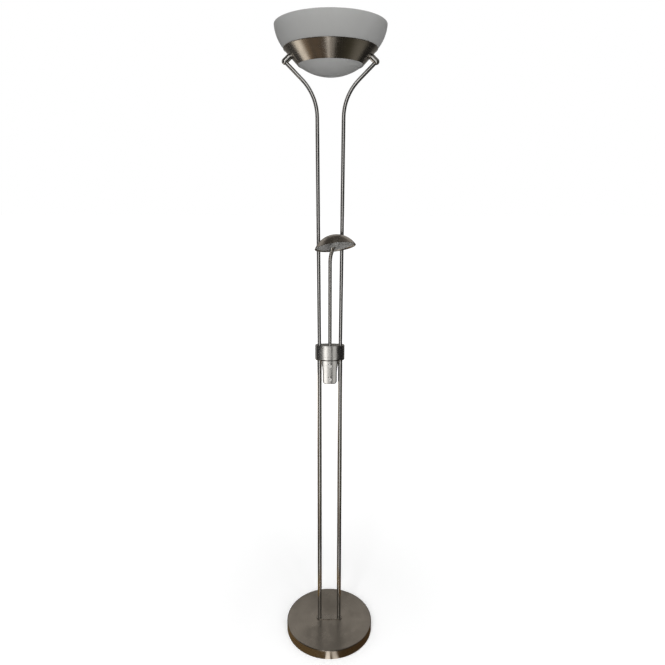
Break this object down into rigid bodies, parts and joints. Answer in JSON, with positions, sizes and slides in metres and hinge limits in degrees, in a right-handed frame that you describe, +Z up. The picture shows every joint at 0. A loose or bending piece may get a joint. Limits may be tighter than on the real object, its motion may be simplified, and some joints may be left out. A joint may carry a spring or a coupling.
{
  "type": "torchiere floor lamp with reading light",
  "caption": "Tall uplighter floor lamp: twin poles on a weighted round base carry a ringed glass bowl, with a flexible reading light and dimmer knobs at mid height.",
  "frame": {"origin": "centre of the round base on the floor", "axes": "+Z up along the poles, -Y towards the front with the dimmer knobs, +X to the right seen from the front"},
  "size_m": [0.2964, 0.2964, 1.8],
  "materials": {
    "brushed_nickel": "brushed nickel plate, satin",
    "satin_chrome": "satin chrome plate",
    "flexible_arm": "ribbed metal hose, satin plated",
    "frosted_glass": "opal glass, etched outside",
    "lamp_glass": "clear quartz glass",
    "cast_iron": "as cast, black dip",
    "zinc_steel": "zinc plated steel",
    "polished_aluminium": "bright rolled aluminium",
    "ceramic": "unglazed steatite",
    "black_rubber": "foam rubber",
    "black_plastic": "moulded",
    "circuit_board": "printed circuit laminate",
    "silicone": "translucent silicone"
  },
  "bodies": {
    "stand": {"arm_base": "flexible_arm", "arm_nut": "zinc_steel", "base_bottom_plate": "zinc_steel", "base_cover": "brushed_nickel", "base_pad": "black_rubber", "base_weight": "cast_iron", "bowl_glass": "frosted_glass", "bowl_lamp": "lamp_glass", "bowl_lamp_caps": "ceramic", "bowl_reflector": "polished_aluminium", "bowl_ring": "brushed_nickel", "bowl_seals": "silicone", "collar_body": "satin_chrome", "collar_cap": "satin_chrome", "collar_screws": "zinc_steel", "cord_inlet": "black_plastic", "dimmer_back_cover": "black_plastic", "dimmer_board": "circuit_board", "dimmer_cover_screws": "zinc_steel", "dimmer_housing": "satin_chrome", "dimmer_potentiometers": "black_plastic", "foot_plate": "brushed_nickel", "holder_screws": "zinc_steel", "housing_screws": "zinc_steel", "knuckle_left": "satin_chrome", "knuckle_right": "satin_chrome", "lamp_bridge": "zinc_steel", "lamp_holder_left": "ceramic", "lamp_holder_right": "ceramic", "lower_pole_left": "brushed_nickel", "lower_pole_right": "brushed_nickel", "nipple_nuts": "zinc_steel", "pole_joiner_left": "zinc_steel", "pole_joiner_right": "zinc_steel", "pole_nuts": "zinc_steel", "pole_washers": "zinc_steel", "reflector_rivets": "zinc_steel", "threaded_nipples": "zinc_steel", "upper_rod_left": "brushed_nickel", "upper_rod_right": "brushed_nickel"},
    "upper_knob": {"upper_knob": "satin_chrome", "upper_knob_shaft": "zinc_steel"},
    "lower_knob": {"lower_knob": "satin_chrome", "lower_knob_shaft": "zinc_steel"},
    "arm_link_1": {"arm_link_1": "flexible_arm"},
    "arm_link_2": {"arm_link_2": "flexible_arm"},
    "arm_link_3": {"arm_link_3": "flexible_arm"},
    "arm_link_4": {"arm_link_4": "flexible_arm"},
    "arm_link_5": {"arm_link_5": "flexible_arm"},
    "arm_link_6": {"arm_link_6": "flexible_arm"},
    "arm_link_7": {"arm_link_7": "flexible_arm"},
    "reading_head": {"arm_crook": "flexible_arm", "arm_ferrule": "satin_chrome", "head_dome": "brushed_nickel", "head_hub": "satin_chrome", "head_lamp": "lamp_glass", "head_lamp_holder": "ceramic", "head_reflector": "polished_aluminium"}
  },
  "joints": [
    {"name": "arm_lean_1", "type": "hinge", "parent": "stand", "child": "arm_link_1", "pos_m": [0, -0.005, 0.96], "axis": [1, 0, 0], "range_deg": [0, 14]},
    {"name": "arm_lean_2", "type": "hinge", "parent": "arm_link_1", "child": "arm_link_2", "pos_m": [0, -0.005, 0.99], "axis": [1, 0, 0], "range_deg": [0, 14]},
    {"name": "arm_lean_3", "type": "hinge", "parent": "arm_link_2", "child": "arm_link_3", "pos_m": [0, -0.005, 1.02], "axis": [1, 0, 0], "range_deg": [0, 14]},
    {"name": "arm_lean_4", "type": "hinge", "parent": "arm_link_3", "child": "arm_link_4", "pos_m": [0, -0.005, 1.05], "axis": [1, 0, 0], "range_deg": [0, 14]},
    {"name": "arm_aim_1", "type": "hinge", "parent": "arm_link_4", "child": "arm_link_5", "pos_m": [0, -0.005, 1.08], "axis": [1, 0, 0], "range_deg": [0, 20]},
    {"name": "arm_sway_1", "type": "hinge", "parent": "arm_link_5", "child": "arm_link_6", "pos_m": [0, -0.005, 1.11], "axis": [0, 1, 0], "range_deg": [-12, 12]},
    {"name": "arm_aim_2", "type": "hinge", "parent": "arm_link_6", "child": "arm_link_7", "pos_m": [0, -0.005, 1.14], "axis": [1, 0, 0], "range_deg": [0, 20]},
    {"name": "arm_sway_2", "type": "hinge", "parent": "arm_link_7", "child": "reading_head", "pos_m": [0, -0.005, 1.17], "axis": [0, 1, 0], "range_deg": [-12, 12]},
    {"name": "upper_knob_turn", "type": "hinge", "parent": "stand", "child": "upper_knob", "pos_m": [0, -0.0164, 0.8796], "axis": [0, 1, 0], "range_deg": [0, 270]},
    {"name": "lower_knob_turn", "type": "hinge", "parent": "stand", "child": "lower_knob", "pos_m": [0, -0.0164, 0.8391], "axis": [0, 1, 0], "range_deg": [0, 270]}
  ],
  "couplings": [
    {"joint": "arm_lean_2", "follows": "arm_lean_1", "ratio": 1},
    {"joint": "arm_lean_3", "follows": "arm_lean_1", "ratio": 1},
    {"joint": "arm_lean_4", "follows": "arm_lean_1", "ratio": 1},
    {"joint": "arm_aim_2", "follows": "arm_aim_1", "ratio": 1},
    {"joint": "arm_sway_2", "follows": "arm_sway_1", "ratio": 1}
  ]
}
